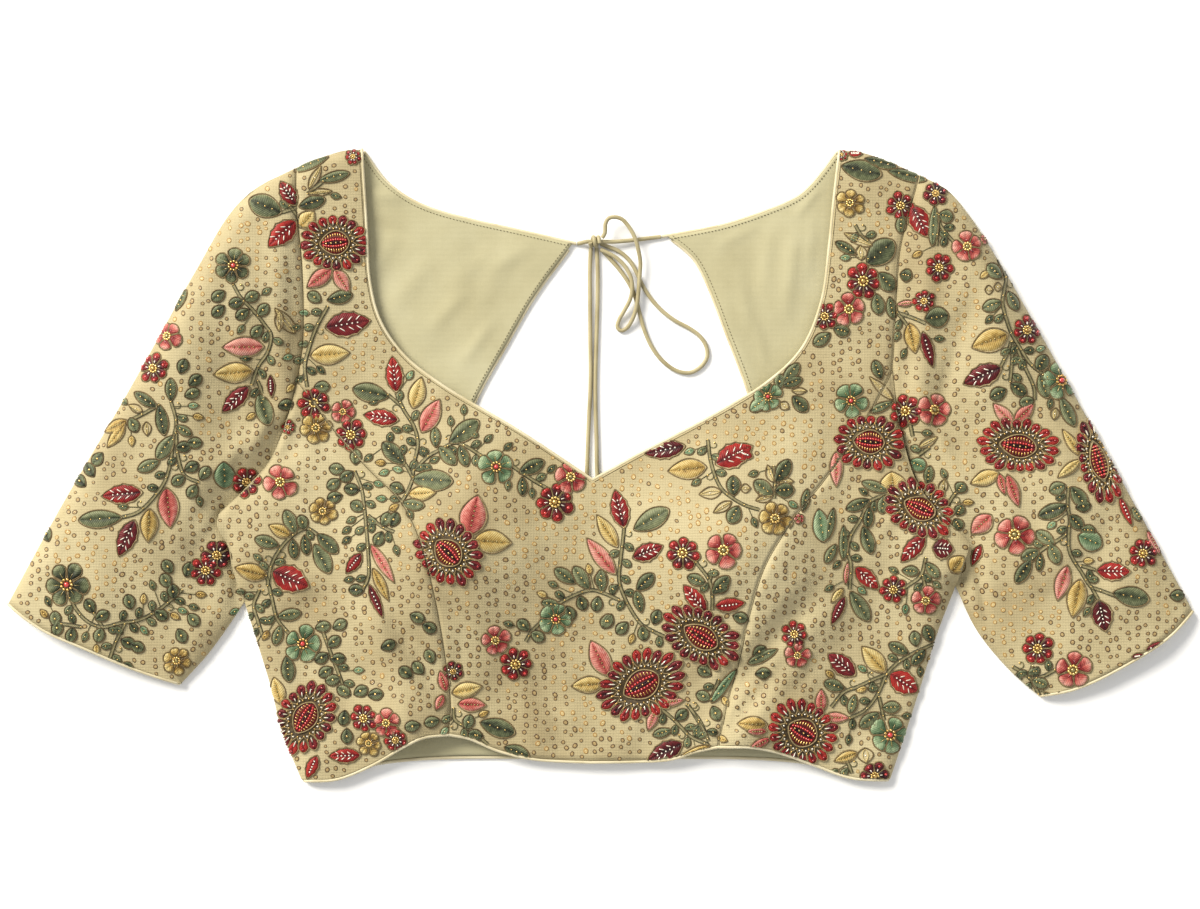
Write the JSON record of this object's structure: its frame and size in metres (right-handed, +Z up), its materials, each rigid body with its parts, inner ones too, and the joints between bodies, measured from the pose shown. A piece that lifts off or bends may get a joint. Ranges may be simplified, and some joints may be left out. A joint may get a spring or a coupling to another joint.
{
  "type": "embroidered saree blouse",
  "caption": "Cropped blouse with elbow sleeves, deep V front neck and princess seams, laid flat; open keyhole back closed by a knotted tie cord.",
  "frame": {"origin": "centre of the bottom of the bounding box, on the surface that the blouse lies on", "axes": "+X towards the wearer's left, sleeve to sleeve; +Y from hem to shoulders; +Z up from the surface"},
  "size_m": [0.7219, 0.3859, 0.03],
  "materials": {
    "brocade": "silk with thread and sequin embroidery",
    "lining": "plain soft weave",
    "piping": "satin bias strip",
    "cord": "satin tube"
  },
  "bodies": {
    "root": {"front_centre": "brocade", "front_side_right": "brocade", "front_side_left": "brocade", "back_right": "brocade", "back_left": "brocade", "sleeve_right": "brocade", "sleeve_left": "brocade", "back_lining_right": "lining", "back_lining_left": "lining", "neck_piping_front": "piping", "neck_piping_back_right": "piping", "neck_piping_back_left": "piping", "keyhole_piping": "piping", "hem_piping": "piping", "sleeve_piping_right": "piping", "sleeve_piping_left": "piping", "tie_bridge": "cord", "tie_knot": "cord", "tie_loop_small": "cord", "tie_loop_large": "cord", "tie_tail_right": "cord", "tie_tail_left": "cord", "tie_end_right": "cord", "tie_end_left": "cord"}
  },
  "joints": []
}
